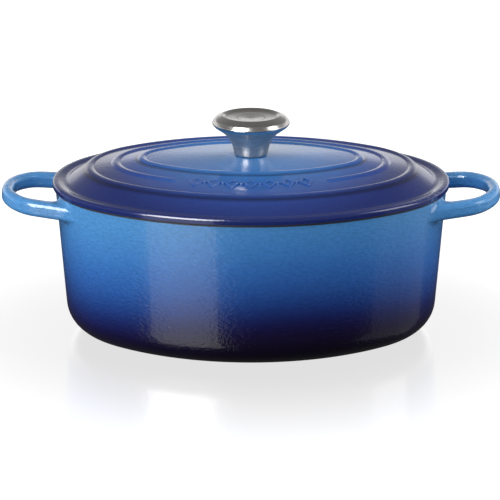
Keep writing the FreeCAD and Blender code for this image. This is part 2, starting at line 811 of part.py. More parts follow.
def make_fixing():
    """Washers, screw and the bush inside the knob that it is driven into."""
    hole = size.screw_radius + size.screw_hole_clearance
    washer_bottom = seat_underside - size.flat_washer_thickness
    spring_bottom = washer_bottom - size.spring_washer_thickness
    bush = ring_pad("knob_bush", size.bush_radius, size.screw_radius + size.thread_clearance,
                    size.bush_height, seat + size.knob_wall)
    washer = ring_pad("flat_washer", size.flat_washer_radius, hole,
                      size.flat_washer_thickness, washer_bottom)
    spring = ring_pad("spring_washer", size.spring_washer_radius, hole,
                      size.spring_washer_thickness, spring_bottom)
    slit = new_sketch(spring, "slit_plan", "XY_Plane", spring_bottom)
    half_slit = size.spring_washer_thickness / 3
    add_outline(slit, [(0, -half_slit), (size.flat_washer_radius, -half_slit),
                       (size.flat_washer_radius, half_slit), (0, half_slit)])
    cut = spring.newObject("PartDesign::Pocket", "slit")
    cut.Profile = slit
    cut.Reversed = True
    cut.setExpression("Length", size.spring_washer_thickness.text)
    doc.recompute()
    return [bush, washer, spring, make_screw(spring_bottom)]


# Build, check and write

def check_document():
    """Stop on any object that did not compute."""
    for item in doc.Objects:
        if "Invalid" in item.State or "Error" in item.State:
            raise RuntimeError(f"{item.Label} did not compute: {item.State}")


def write_parts(parts):
    """Check each sub-part's shape and write it to parts/."""
    os.makedirs("parts", exist_ok=True)
    for item in parts:
        shape = item.Shape
        if shape.isNull() or not shape.isValid() or len(shape.Solids) != 1:
            raise RuntimeError(f"{item.Label} is not one valid solid")
        shape.exportStep(f"parts/{item.Label}.step")
        print(f"{item.Label}: {shape.Volume / 1000:.1f} cm3")


parts = [make_pot(), make_lid(), make_knob_stem(), make_knob_cap(), *make_fixing()]
doc.recompute()
check_document()
write_parts(parts)
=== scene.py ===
"""Looks of an enamelled oval dutch oven: finishes, lid ornament, floor, studio light and camera."""

import logging
import math
from dataclasses import dataclass, field
from enum import Enum

import bpy
from mathutils import Matrix, Vector


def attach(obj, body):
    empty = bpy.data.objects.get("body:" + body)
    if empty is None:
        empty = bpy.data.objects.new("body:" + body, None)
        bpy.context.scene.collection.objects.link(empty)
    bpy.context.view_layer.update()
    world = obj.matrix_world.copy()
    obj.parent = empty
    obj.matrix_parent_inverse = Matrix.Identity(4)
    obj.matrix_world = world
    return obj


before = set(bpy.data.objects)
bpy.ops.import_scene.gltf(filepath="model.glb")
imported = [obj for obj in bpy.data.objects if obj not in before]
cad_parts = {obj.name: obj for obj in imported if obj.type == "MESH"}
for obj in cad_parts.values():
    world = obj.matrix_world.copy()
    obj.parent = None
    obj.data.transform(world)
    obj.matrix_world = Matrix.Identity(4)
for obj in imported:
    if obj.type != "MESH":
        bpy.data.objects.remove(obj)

LOG = logging.getLogger("dutch_oven")
MM = 0.001

Colour = tuple[float, float, float]
Stop = tuple[float, Colour]


def linear(red: int, green: int, blue: int) -> Colour:
    """Turns a display colour into a linear one.

    Args:
        red: Red from 0 to 255.
        green: Green from 0 to 255.
        blue: Blue from 0 to 255.

    Returns:
        The three linear values, from 0 to 1.
    """

    def channel(value: int) -> float:
        """Undoes the display curve of one channel."""
        part = value / 255
        return part / 12.92 if part <= 0.04045 else ((part + 0.055) / 1.055) ** 2.4

    return channel(red), channel(green), channel(blue)


class Skin(Enum):
    """The noise behind a surface: how many octaves it has and how rough they are."""

    GLASSY = (2.0, 0.45)
    GRAINY = (4.0, 0.6)


@dataclass(frozen=True)
class OvalFamily:
    """The nested ovals that the pot and lid follow, as two round ends and two flatter sides."""

    end_centre: float = 55.6 * MM
    side_centre: float = 71.8 * MM
    difference: float = 36.6 * MM

    def half_length(self, across: float, along: float) -> float:
        """Finds which oval of the family a point lies on.

        Args:
            across: Place along X.
            along: Place along Y.

        Returns:
            Half the length of the oval through the point.
        """
        past_centre = abs(across) - self.end_centre
        if past_centre > 0 and abs(along) * self.end_centre < past_centre * self.side_centre:
            return math.hypot(past_centre, along) + self.end_centre
        reach = math.hypot(across, abs(along) + self.side_centre)
        return reach - self.side_centre + self.difference


OVALS = OvalFamily()


class Graph:
    """Adds and joins the nodes of one shader tree."""

    def __init__(self, tree: bpy.types.NodeTree) -> None:
        """Takes the tree to add to."""
        self.tree = tree

    def add(self, kind: str, inputs: dict | None = None, **settings: object) -> bpy.types.Node:
        """Adds a node, sets it up and joins its inputs.

        Args:
            kind: Blender's name for the node type.
            inputs: Values or output sockets for the node's inputs, by name or number.
            **settings: Properties of the node itself.

        Returns:
            The new node.
        """
        node = self.tree.nodes.new(kind)
        for name, value in settings.items():
            setattr(node, name, value)
        for name, value in (inputs or {}).items():
            self.feed(node.inputs[name], value)
        return node

    def feed(self, socket: bpy.types.NodeSocket, value: object) -> None:
        """Joins an output to an input, or sets the input's own value.

        Args:
            socket: The input.
            value: The output to join to it, or the value to set.
        """
        if isinstance(value, bpy.types.NodeSocket):
            self.tree.links.new(value, socket)
        elif isinstance(value, tuple) and len(value) == 3 and socket.type == "RGBA":
            socket.default_value = (*value, 1.0)
        else:
            socket.default_value = value

    def math(self, operation: str, *values: object, clamp: bool = False) -> bpy.types.NodeSocket:
        """Adds a Math node.

        Args:
            operation: Which sum it does.
            *values: Its numbers or sockets, in order.
            clamp: Whether the answer is kept from 0 to 1.

        Returns:
            The answer's socket.
        """
        node = self.add("ShaderNodeMath", dict(enumerate(values)), operation=operation)
        node.use_clamp = clamp
        return node.outputs[0]

    def spread(self, value: object, low: float, high: float, start: float = 0.0,
               end: float = 1.0) -> bpy.types.NodeSocket:
        """Maps a value smoothly from one range to another.

        Args:
            value: The socket to map.
            low: Value that gives start.
            high: Value that gives end.
            start: Answer at low and below.
            end: Answer at high and above.

        Returns:
            The mapped value's socket.
        """
        node = self.add(
            "ShaderNodeMapRange",
            {"Value": value, "From Min": low, "From Max": high, "To Min": start, "To Max": end},
            interpolation_type="SMOOTHSTEP",
        )
        return node.outputs["Result"]

    def radius(self, place: object) -> bpy.types.NodeSocket:
        """Adds the distance of a place from the Z axis.

        Args:
            place: The place's socket.

        Returns:
            The distance's socket.
        """
        flat = self.add(
            "ShaderNodeVectorMath", {0: place, 1: (1.0, 1.0, 0.0)}, operation="MULTIPLY"
        ).outputs[0]
        return self.add("ShaderNodeVectorMath", {0: flat}, operation="LENGTH").outputs["Value"]

    def scaled(self, colour: object, factor: object) -> bpy.types.NodeSocket:
        """Adds a colour made lighter or darker.

        Args:
            colour: The colour's socket.
            factor: The socket to multiply it by.

        Returns:
            The new colour's socket.
        """
        inputs = {0: colour, "Scale": factor}
        return self.add("ShaderNodeVectorMath", inputs, operation="SCALE").outputs[0]

    def ramp(self, factor: object, stops: tuple[Stop, ...]) -> bpy.types.NodeSocket:
        """Adds a smooth colour ramp over a value.

        Args:
            factor: The value's socket.
            stops: Each place in the value's own units, with its linear colour.

        Returns:
            The colour's socket.
        """
        low, high = stops[0][0], stops[-1][0]
        place = self.add(
            "ShaderNodeMapRange", {"Value": factor, "From Min": low, "From Max": high}
        ).outputs["Result"]
        node = self.add("ShaderNodeValToRGB", {"Fac": place})
        points = node.color_ramp.elements
        while len(points) < len(stops):
            points.new(0.5)
        for point, (where, colour) in zip(points, stops):
            point.position = (where - low) / (high - low)
            point.color = (*colour, 1.0)
        node.color_ramp.interpolation = "B_SPLINE"
        return node.outputs["Color"]

    def blend(self, factor: object, first: object, second: object) -> bpy.types.NodeSocket:
        """Mixes two colours.

        Args:
            factor: Share of the second colour.
            first: Colour or socket at 0.
            second: Colour or socket at 1.

        Returns:
            The mixed colour's socket.
        """
        inputs = {0: factor, 6: first, 7: second}
        return self.add("ShaderNodeMix", inputs, data_type="RGBA").outputs[2]

    def use(self, group: bpy.types.NodeTree, **inputs: object) -> bpy.types.Node:
        """Places a node group with its own input values.

        Args:
            group: The shared effect.
            **inputs: Values or sockets for its inputs, with _ for a space.

        Returns:
            The group's node.
        """
        named = {name.replace("_", " "): value for name, value in inputs.items()}
        return self.add("ShaderNodeGroup", named, node_tree=group)


class Effects:
    """The shared effects, each a node group built once."""

    SQUASH = (1.0, 1.0, 1.9)
    SWELL_SEED = 0.31
    GRAIN_SEED = 0.77
    TURNED_NOISE = {"Scale": 1.0, "Detail": 3.0, "Roughness": 0.6}
    STREAK_NOISE = (0.35, 0.65)
    DIMPLE_EDGE = 0.6

    def __init__(self) -> None:
        """Builds every group."""
        self.oval_reach = self._oval_reach()
        self.cast_skin = {skin: self._cast_skin(skin) for skin in Skin}
        self.turned_grain = self._turned_grain()
        self.dot_ring = self._dot_ring()

    @staticmethod
    def _start(
        name: str, inputs: dict[str, float | None], outputs: tuple[str, ...]
    ) -> tuple[bpy.types.NodeTree, Graph, bpy.types.Node, bpy.types.Node]:
        """Starts a group with its sockets.

        Args:
            name: The group's name.
            inputs: Each input's name with its default value, or None for a vector.
            outputs: Each output's name; all are numbers.

        Returns:
            The group, its graph, its input node and its output node.
        """
        tree = bpy.data.node_groups.new(name, "ShaderNodeTree")
        for label, default in inputs.items():
            kind = "NodeSocketVector" if default is None else "NodeSocketFloat"
            socket = tree.interface.new_socket(label, in_out="INPUT", socket_type=kind)
            if default is not None:
                socket.default_value = default
        for label in outputs:
            tree.interface.new_socket(label, in_out="OUTPUT", socket_type="NodeSocketFloat")
        graph = Graph(tree)
        return tree, graph, graph.add("NodeGroupInput"), graph.add("NodeGroupOutput")

    def _oval_reach(self) -> bpy.types.NodeTree:
        """Builds the effect that says which oval of the family a place lies on.

        Returns:
            The group, which gives half the oval's length in metres.
        """
        tree, graph, given, made = self._start("oval_reach", {"Place": None}, ("Half Length",))
        parts = graph.add("ShaderNodeSeparateXYZ", {0: given.outputs["Place"]}).outputs
        across = graph.math("ABSOLUTE", parts["X"])
        along = graph.math("ABSOLUTE", parts["Y"])
        past = graph.math("SUBTRACT", across, OVALS.end_centre)
        side = graph.math("ADD", along, OVALS.side_centre)
        along_square = graph.math("POWER", along, 2.0)
        end_square = graph.math("ADD", graph.math("POWER", past, 2.0), along_square)
        across_square = graph.math("POWER", across, 2.0)
        side_square = graph.math("ADD", across_square, graph.math("POWER", side, 2.0))
        end_reach = graph.math("ADD", graph.math("SQRT", end_square), OVALS.end_centre)
        side_reach = graph.math(
            "ADD", graph.math("SQRT", side_square), OVALS.difference - OVALS.side_centre
        )
        at_end = graph.math(
            "LESS_THAN",
            graph.math("MULTIPLY", along, OVALS.end_centre),
            graph.math("MULTIPLY", past, OVALS.side_centre),
        )
        reach = graph.add("ShaderNodeMix", {0: at_end, 2: side_reach, 3: end_reach})
        graph.feed(made.inputs["Half Length"], reach.outputs[0])
        return tree

    def _cast_skin(self, skin: Skin) -> bpy.types.NodeTree:
        """Builds the slightly uneven skin of enamel over cast iron.

        Args:
            skin: Which noise it uses.

        Returns:
            The group, which gives a height near 0.5.
        """
        octaves, rough = skin.value
        tree, graph, given, made = self._start(
            f"cast_skin_{skin.name.lower()}",
            {"Place": None, "Swell Size": 0.004, "Grain Size": 0.0012, "Grain Share": 0.5},
            ("Height",),
        )

        def noise(size: object, seed: float) -> bpy.types.NodeSocket:
            """Adds a noise of one size.

            Args:
                size: Socket of the size of its bumps.
                seed: How far it is moved, so that two noises differ.

            Returns:
                The noise's socket.
            """
            place = graph.add(
                "ShaderNodeVectorMath",
                {0: given.outputs["Place"], 1: self.SQUASH, 2: (seed, seed, seed)},
                operation="MULTIPLY_ADD",
            )
            scale = graph.math("DIVIDE", 1.0, size)
            return graph.add(
                "ShaderNodeTexNoise",
                {"Vector": place.outputs[0], "Scale": scale, "Detail": octaves, "Roughness": rough},
            ).outputs["Fac"]

        swell = noise(given.outputs["Swell Size"], self.SWELL_SEED)
        grain = noise(given.outputs["Grain Size"], self.GRAIN_SEED)
        height = graph.add(
            "ShaderNodeMix", {0: given.outputs["Grain Share"], 2: swell, 3: grain}
        ).outputs[0]
        graph.feed(made.inputs["Height"], height)
        return tree

    def _turned_grain(self) -> bpy.types.NodeTree:
        """Builds the fine rings that turning and brushing leave on steel round the Z axis.

        Returns:
            The group, which gives the rings' height near 0.5 and a mask of their dull streaks.
        """
        tree, graph, given, made = self._start(
            "turned_grain",
            {"Place": None, "Line Width": 0.0002, "Run": 0.4},
            ("Height", "Streak"),
        )
        parts = graph.add("ShaderNodeSeparateXYZ", {0: given.outputs["Place"]}).outputs
        radius = graph.radius(given.outputs["Place"])
        turn = graph.math("ARCTAN2", parts["Y"], parts["X"])
        lines = graph.add("ShaderNodeCombineXYZ", {
            "X": graph.math("DIVIDE", radius, given.outputs["Line Width"]),
            "Y": graph.math("MULTIPLY", graph.math("SINE", turn), given.outputs["Run"]),
            "Z": graph.math("DIVIDE", parts["Z"], given.outputs["Line Width"]),
        }).outputs[0]
        noise = graph.add(
            "ShaderNodeTexNoise", {"Vector": lines, **self.TURNED_NOISE}
        ).outputs["Fac"]
        graph.feed(made.inputs["Height"], noise)
        graph.feed(made.inputs["Streak"], graph.spread(noise, *self.STREAK_NOISE))
        return tree

    def _dot_ring(self) -> bpy.types.NodeTree:
        """Builds a ring of small round dimples about the Z axis.

        Returns:
            The group, which gives 1 in a dimple and 0 round it.
        """
        tree, graph, given, made = self._start(
            "dot_ring",
            {"Place": None, "Count": 24.0, "Ring Radius": 0.01, "Dot Radius": 0.0005},
            ("Dimple",),
        )
        parts = graph.add("ShaderNodeSeparateXYZ", {0: given.outputs["Place"]}).outputs
        radius = graph.radius(given.outputs["Place"])
        turns = graph.math("DIVIDE", graph.math("ARCTAN2", parts["Y"], parts["X"]), math.tau)
        step = graph.math("FRACT", graph.math("MULTIPLY", turns, given.outputs["Count"]))
        round_ring = graph.math("MULTIPLY", radius, math.tau)
        share = graph.math("DIVIDE", round_ring, given.outputs["Count"])
        beside = graph.math("MULTIPLY", graph.math("SUBTRACT", step, 0.5), share)
        out = graph.math("SUBTRACT", radius, given.outputs["Ring Radius"])
        away = graph.math("SQRT", graph.math(
            "ADD", graph.math("POWER", beside, 2.0), graph.math("POWER", out, 2.0)
        ))
        dimple = graph.math("SUBTRACT", 1.0, graph.math(
            "DIVIDE", away, given.outputs["Dot Radius"], clamp=True), clamp=True)
        graph.feed(made.inputs["Dimple"], graph.spread(dimple, 0.0, self.DIMPLE_EDGE))
        return tree


@dataclass(frozen=True)
class Enamel:
    """A glossy enamel whose colour runs along one measure, with a matt black edge."""

    name: str
    stops: tuple[Stop, ...]
    by_height: bool
    black_from: float
    black_to: float
    black_reach: float = 1.0
    roughness: float = 0.15
    coat: float = 0.5
    peel: float = 0.55 * MM
    skin: Skin = Skin.GLASSY
    swell: float = 3.4 * MM
    grain: float = 1.6 * MM
    grain_share: float = 0.35
    # Painted light and shade on the enamel's peel: colour lighter on its rises and darker in its
    # hollows.
    peel_light_and_shade: float = 0.09
    peel_light_and_shade_noise: tuple[float, float] = (0.3, 0.7)
    coat_roughness: float = 0.06
    specular: float = 0.4
    # Painted light and shade round the pot: the gradient reads higher, so lighter, at the round
    # ends and lower, so darker, at the front right of centre.
    painted_shade_sway: float = 0.0
    painted_shade_darkest_way: tuple[float, float, float] = (0.342, -0.94, 0.0)
    roundness: float = 0.0
    # Painted shade: colour darkened along the groove at the foot of each lid ring, at these oval
    # half lengths, with its reach and darkness.
    painted_groove_shade: tuple[float, ...] = ()
    painted_groove_reach: float = 3.0 * MM
    painted_groove_darkness: float = 0.4
    black: Colour = linear(38, 40, 46)
    black_fade: float = 0.35 * MM
    black_rougher: float = 0.45

    def _measure(
        self, graph: Graph, place: object, height: object, reach: object
    ) -> bpy.types.NodeSocket:
        """Adds the measure that the colour runs along.

        Args:
            graph: The material's graph.
            place: Socket of the place on the casting.
            height: Socket of its height.
            reach: Socket of the oval it lies on.

        Returns:
            The socket of the height with a painted light-and-shade sway round the pot, or of the
            oval made rounder.
        """
        if self.by_height:
            flat = graph.add(
                "ShaderNodeVectorMath", {0: place, 1: (1.0, 1.0, 0.0)}, operation="MULTIPLY"
            ).outputs[0]
            way = graph.add("ShaderNodeVectorMath", {0: flat}, operation="NORMALIZE").outputs[0]
            lined_up = graph.add(
                "ShaderNodeVectorMath", {0: way, 1: self.painted_shade_darkest_way}, operation="DOT_PRODUCT"
            ).outputs["Value"]
            # Painted light and shade: shifts the gradient round the pot, lighter at the ends and
            # darker at the front right of centre.
            twice = graph.math("SUBTRACT", graph.math("MULTIPLY", graph.math(
                "POWER", lined_up, 2.0), 2.0), 1.0)
            return graph.math("SUBTRACT", height, graph.math("MULTIPLY", twice, self.painted_shade_sway))
        radius = graph.math("ADD", graph.radius(place), OVALS.difference)
        extra = graph.math("SUBTRACT", radius, reach)
        return graph.math("ADD", reach, graph.math("MULTIPLY", extra, self.roundness))

    def _bare(self, graph: Graph, height: object, reach: object) -> bpy.types.NodeSocket:
        """Adds the mask of the edge that has only a matt black ground coat.

        Args:
            graph: The material's graph.
            height: Socket of the height.
            reach: Socket of the oval it lies on.

        Returns:
            The mask's socket, 1 on the black edge.
        """
        fade = self.black_fade
        above = graph.spread(height, self.black_from - fade, self.black_from)
        below = graph.spread(height, self.black_to, self.black_to + fade, 1.0, 0.0)
        near = graph.math("LESS_THAN", reach, self.black_reach)
        return graph.math("MULTIPLY", graph.math("MULTIPLY", above, below), near)

    def build(self, effects: Effects) -> bpy.types.Material:
        """Makes the material.

        Args:
            effects: The shared node groups.

        Returns:
            The finished material.
        """
        material = bpy.data.materials.new(self.name)
        material.use_nodes = True
        graph = Graph(material.node_tree)
        surface = material.node_tree.nodes["Principled BSDF"]
        place = graph.add("ShaderNodeTexCoord").outputs["Object"]
        height = graph.add("ShaderNodeSeparateXYZ", {0: place}).outputs["Z"]
        reach = graph.use(effects.oval_reach, Place=place).outputs["Half Length"]
        measure = self._measure(graph, place, height, reach)
        colour = graph.ramp(measure, self.stops)
        skin = graph.use(
            effects.cast_skin[self.skin], Place=place, Swell_Size=self.swell,
            Grain_Size=self.grain, Grain_Share=self.grain_share,
        )
        # Painted light and shade: the colour follows the peel's height, lighter on rises and darker
        # in hollows.
        colour = graph.scaled(colour, graph.spread(
            skin.outputs["Height"], *self.peel_light_and_shade_noise, 1.0 - self.peel_light_and_shade, 1.0 + self.peel_light_and_shade))
        # Painted shade: darkens the colour along each ring's foot groove.
        for groove_line in self.painted_groove_shade:
            away = graph.math("ABSOLUTE", graph.math("SUBTRACT", reach, groove_line))
            shade = graph.spread(away, 0.0, self.painted_groove_reach, self.painted_groove_darkness, 1.0)
            colour = graph.scaled(colour, shade)
        bare = self._bare(graph, height, reach)
        graph.feed(surface.inputs["Base Color"], graph.blend(bare, colour, self.black))
        graph.feed(surface.inputs["Roughness"], graph.math(
            "ADD", self.roughness, graph.math("MULTIPLY", bare, self.black_rougher), clamp=True))
        graph.feed(surface.inputs["Coat Weight"], graph.math(
            "MULTIPLY", graph.math("SUBTRACT", 1.0, bare), self.coat))
        surface.inputs["Coat Roughness"].default_value = self.coat_roughness
        surface.inputs["Specular IOR Level"].default_value = self.specular
        bump = graph.add(
            "ShaderNodeBump",
            {"Height": skin.outputs["Height"], "Distance": self.peel, "Strength": 1.0},
        )
        graph.feed(surface.inputs["Normal"], bump.outputs[0])
        return material


@dataclass(frozen=True)
class Steel:
    """Turned stainless steel, satin or polished."""

    name: str
    colour: Colour
    roughness: float
    streak: float
    depth: float
    line: float = 0.25 * MM
    anisotropy: float = 0.0
    dots: int = 0
    dot_ring: float = 10 * MM
    dot_radius: float = 0.6 * MM
    dot_depth: float = 0.25 * MM
    # Painted shade: the share of the steel's colour left in each dimple.
    dimple_painted_shade: float = 0.3
    metallic: float = 1.0
    dull_shade: float = 0.86
    line_noise: tuple[float, float] = (0.3, 0.7)

    def shaded(self, shade: float) -> Colour:
        """Gives the steel's colour times a shade."""
        return tuple(part * shade for part in self.colour)

    def build(self, effects: Effects) -> bpy.types.Material:
        """Makes the material.

        Args:
            effects: The shared node groups.

        Returns:
            The finished material.
        """
        material = bpy.data.materials.new(self.name)
        material.use_nodes = True
        graph = Graph(material.node_tree)
        surface = material.node_tree.nodes["Principled BSDF"]
        place = graph.add("ShaderNodeTexCoord").outputs["Object"]
        grain = graph.use(effects.turned_grain, Place=place, Line_Width=self.line)
        colour = graph.blend(grain.outputs["Streak"], self.colour, self.shaded(self.dull_shade))
        height = graph.math("MULTIPLY", grain.outputs["Height"], self.depth)
        if self.dots:
            ring = graph.use(
                effects.dot_ring, Place=place, Count=float(self.dots),
                Ring_Radius=self.dot_ring, Dot_Radius=self.dot_radius,
            ).outputs["Dimple"]
            # Painted shade in the dimples: their colour is darkened as well as sunk by the bump.
            height = graph.math("SUBTRACT", height, graph.math("MULTIPLY", ring, self.dot_depth))
            colour = graph.blend(ring, colour, self.shaded(self.dimple_painted_shade))
        graph.feed(surface.inputs["Base Color"], colour)
        rougher = self.roughness + self.streak
        graph.feed(surface.inputs["Roughness"], graph.spread(
            grain.outputs["Height"], *self.line_noise, self.roughness, rougher))
        surface.inputs["Metallic"].default_value = self.metallic
        surface.inputs["Anisotropic"].default_value = self.anisotropy
        bump = graph.add("ShaderNodeBump", {"Height": height, "Distance": 1.0, "Strength": 1.0})
        graph.feed(surface.inputs["Normal"], bump.outputs[0])
        return material


POT_OUTSIDE = Enamel(
    "pot_outside",
    (
        (0.0, linear(14, 10, 22)),
        (18 * MM, linear(20, 12, 38)),
        (30 * MM, linear(22, 22, 72)),
        (43 * MM, linear(27, 54, 120)),
        (60 * MM, linear(42, 88, 160)),
        (82 * MM, linear(56, 114, 184)),
        (112 * MM, linear(80, 144, 200)),
    ),
    by_height=True, black_from=110.9 * MM, black_to=200 * MM, black_reach=147.4 * MM,
    # Painted light and shade round the pot, by this much height.
    painted_shade_sway=8 * MM,
)
LID_OUTSIDE = Enamel(
    "lid_outside",
    (
        (10 * MM, linear(62, 128, 192)),
        (60 * MM, linear(60, 124, 190)),
        (90 * MM, linear(54, 108, 176)),
        (112 * MM, linear(46, 84, 156)),
        (128 * MM, linear(36, 58, 128)),
        (140 * MM, linear(28, 44, 104)),
        (149 * MM, linear(26, 38, 96)),
    ),
    by_height=False, black_from=100 * MM, black_to=112.7 * MM,
    # The lid's painted shade at its ring feet and the painted light and shade on its peel are set
    # here.
    peel=0.2 * MM, peel_light_and_shade=0.05, roundness=0.8, painted_groove_shade=(125.2 * MM, 85.8 * MM),
)
INSIDE_STOPS = (
    (0.0, linear(226, 213, 186)),
    (60 * MM, linear(224, 210, 183)),
    (200 * MM, linear(228, 215, 190)),
)
POT_INSIDE = Enamel(
    "pot_inside", INSIDE_STOPS, by_height=True, black_from=109.5 * MM, black_to=200 * MM,
    roughness=0.24, skin=Skin.GRAINY, peel_light_and_shade=0.03, peel=0.06 * MM,
)
LID_INSIDE = Enamel(
    "lid_inside", INSIDE_STOPS, by_height=True, black_from=100 * MM, black_to=107.4 * MM,
    roughness=0.26, skin=Skin.GRAINY, peel_light_and_shade=0.03, peel=0.06 * MM,
)
KNOB_CAP = Steel(
    "knob_cap_satin", linear(210, 208, 205), roughness=0.13, streak=0.1, depth=0.004 * MM,
    anisotropy=0.5, dots=26, dot_ring=10.5 * MM,
)
KNOB_STEM = Steel(
    "knob_stem_polished", linear(186, 182, 178), roughness=0.26, streak=0.04, depth=0.001 * MM,
    metallic=0.84,
)
FIXING = Steel("fixing_zinc", linear(176, 176, 180), roughness=0.28, streak=0.12, depth=0.01 * MM)


@dataclass
class Casting:
    """An iron casting with a coloured enamel outside and a pale one inside."""

    node: str
    outside: Enamel
    inside: Enamel

    def is_inside(self, centre: Vector, normal: Vector) -> bool:
        """Says whether a face belongs to the inside; each casting has its own rule.

        Args:
            centre: The face's centre.
            normal: The way it looks.

        Returns:
            Whether it does.
        """
        raise NotImplementedError

    def dress(self, effects: Effects) -> bpy.types.Object:
        """Gives each face the enamel of its side.

        Args:
            effects: The shared node groups.

        Returns:
            The dressed casting.
        """
        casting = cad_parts[self.node]
        casting.data.materials.clear()
        casting.data.materials.append(self.outside.build(effects))
        casting.data.materials.append(self.inside.build(effects))
        for face in casting.data.polygons:
            face.material_index = int(self.is_inside(face.center, face.normal))
        LOG.info("%s has %d faces", self.node, len(casting.data.polygons))
        return casting


@dataclass
class Pot(Casting):
    """The pot with its two loop handles."""

    node: str = "pot_casting"
    outside: Enamel = POT_OUTSIDE
    inside: Enamel = POT_INSIDE
    rim_height: float = 112 * MM
    rim_half_length: float = 147 * MM
    wall: float = 4 * MM
    draft: float = math.radians(4)
    underside: float = 2 * MM

    def is_inside(self, centre: Vector, normal: Vector) -> bool:
        """Takes a face as inside when it is nearer the middle than the middle of the wall.

        Args:
            centre: The face's centre.
            normal: The way it looks.

        Returns:
            Whether it is inside.
        """
        shrink = (self.rim_height - centre.z) * math.tan(self.draft)
        middle = self.rim_half_length - shrink - self.wall / 2
        nearer = OVALS.half_length(centre.x, centre.y) < middle
        return nearer and normal.z > 0 and centre.z > self.underside


@dataclass
class Lid(Casting):
    """The stepped lid casting."""

    node: str = "lid_casting"
    outside: Enamel = LID_OUTSIDE
    inside: Enamel = LID_INSIDE
    edge_half_length: float = 146.5 * MM
    hole_radius: float = 4 * MM
    skirt_top: float = 112.5 * MM
    facing_down: float = -0.05

    def is_inside(self, centre: Vector, normal: Vector) -> bool:
        """Takes a face as inside when it looks down or is on the skirt below the lid's edge.

        Args:
            centre: The face's centre.
            normal: The way it looks.

        Returns:
            Whether it is inside.
        """
        reach = OVALS.half_length(centre.x, centre.y)
        in_hole = math.hypot(centre.x, centre.y) < self.hole_radius
        below = normal.z < self.facing_down or centre.z < self.skirt_top
        return reach < self.edge_half_length and below and not in_hole


@dataclass
class Knob:
    """The hollow steel knob with the fixing inside and under it."""

    finishes: dict[str, Steel] = field(default_factory=lambda: {
        "knob_cap": KNOB_CAP,
        "knob_stem": KNOB_STEM,
        "knob_bush": FIXING,
        "flat_washer": FIXING,
        "spring_washer": FIXING,
        "knob_screw": FIXING,
    })

    def dress(self, effects: Effects) -> None:
        """Gives each steel piece its finish.

        Args:
            effects: The shared node groups.
        """
        made: dict[str, bpy.types.Material] = {}
        for node, finish in self.finishes.items():
            if finish.name not in made:
                made[finish.name] = finish.build(effects)
            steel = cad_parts[node]
            steel.data.materials.clear()
            steel.data.materials.append(made[finish.name])
            for face in steel.data.polygons:
                face.material_index = 0
            LOG.info("%s has %d faces", node, len(steel.data.polygons))


